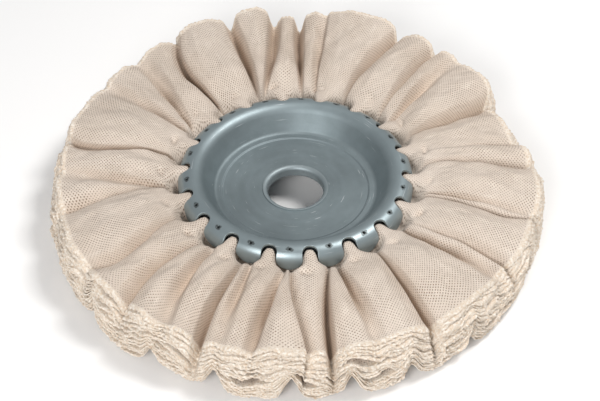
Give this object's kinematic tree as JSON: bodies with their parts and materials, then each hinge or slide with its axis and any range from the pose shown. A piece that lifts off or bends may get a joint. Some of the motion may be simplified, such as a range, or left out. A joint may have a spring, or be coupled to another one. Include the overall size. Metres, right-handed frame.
{
  "type": "ventilated cloth polishing wheel",
  "caption": "Ventilated cloth polishing wheel: gathered cotton plies around a dished, lobed steel centre with a plain arbor bore.",
  "frame": {"origin": "middle of the arbor bore, halfway through the wheel's thickness", "axes": "+Z along the bore, the wheel's spin axis; the wheel lies flat in XY"},
  "size_m": [0.214, 0.214, 0.0278],
  "materials": {
    "zinc_steel": "satin",
    "eyelet_steel": "satin",
    "clinch_steel": "satin",
    "cotton": "matt woven"
  },
  "bodies": {
    "root": {"face_disc": "zinc_steel", "back_disc": "zinc_steel", "bore_eyelet": "eyelet_steel", "clinch_ring": "clinch_steel", "cotton_ply_01": "cotton", "cotton_ply_02": "cotton", "cotton_ply_03": "cotton", "cotton_ply_04": "cotton", "cotton_ply_05": "cotton", "cotton_ply_06": "cotton", "cotton_ply_07": "cotton", "cotton_ply_08": "cotton", "cotton_ply_09": "cotton", "cotton_ply_10": "cotton", "cotton_ply_11": "cotton", "cotton_ply_12": "cotton", "cotton_ply_13": "cotton", "cotton_ply_14": "cotton", "cotton_ply_15": "cotton", "cotton_ply_16": "cotton"}
  },
  "joints": []
}
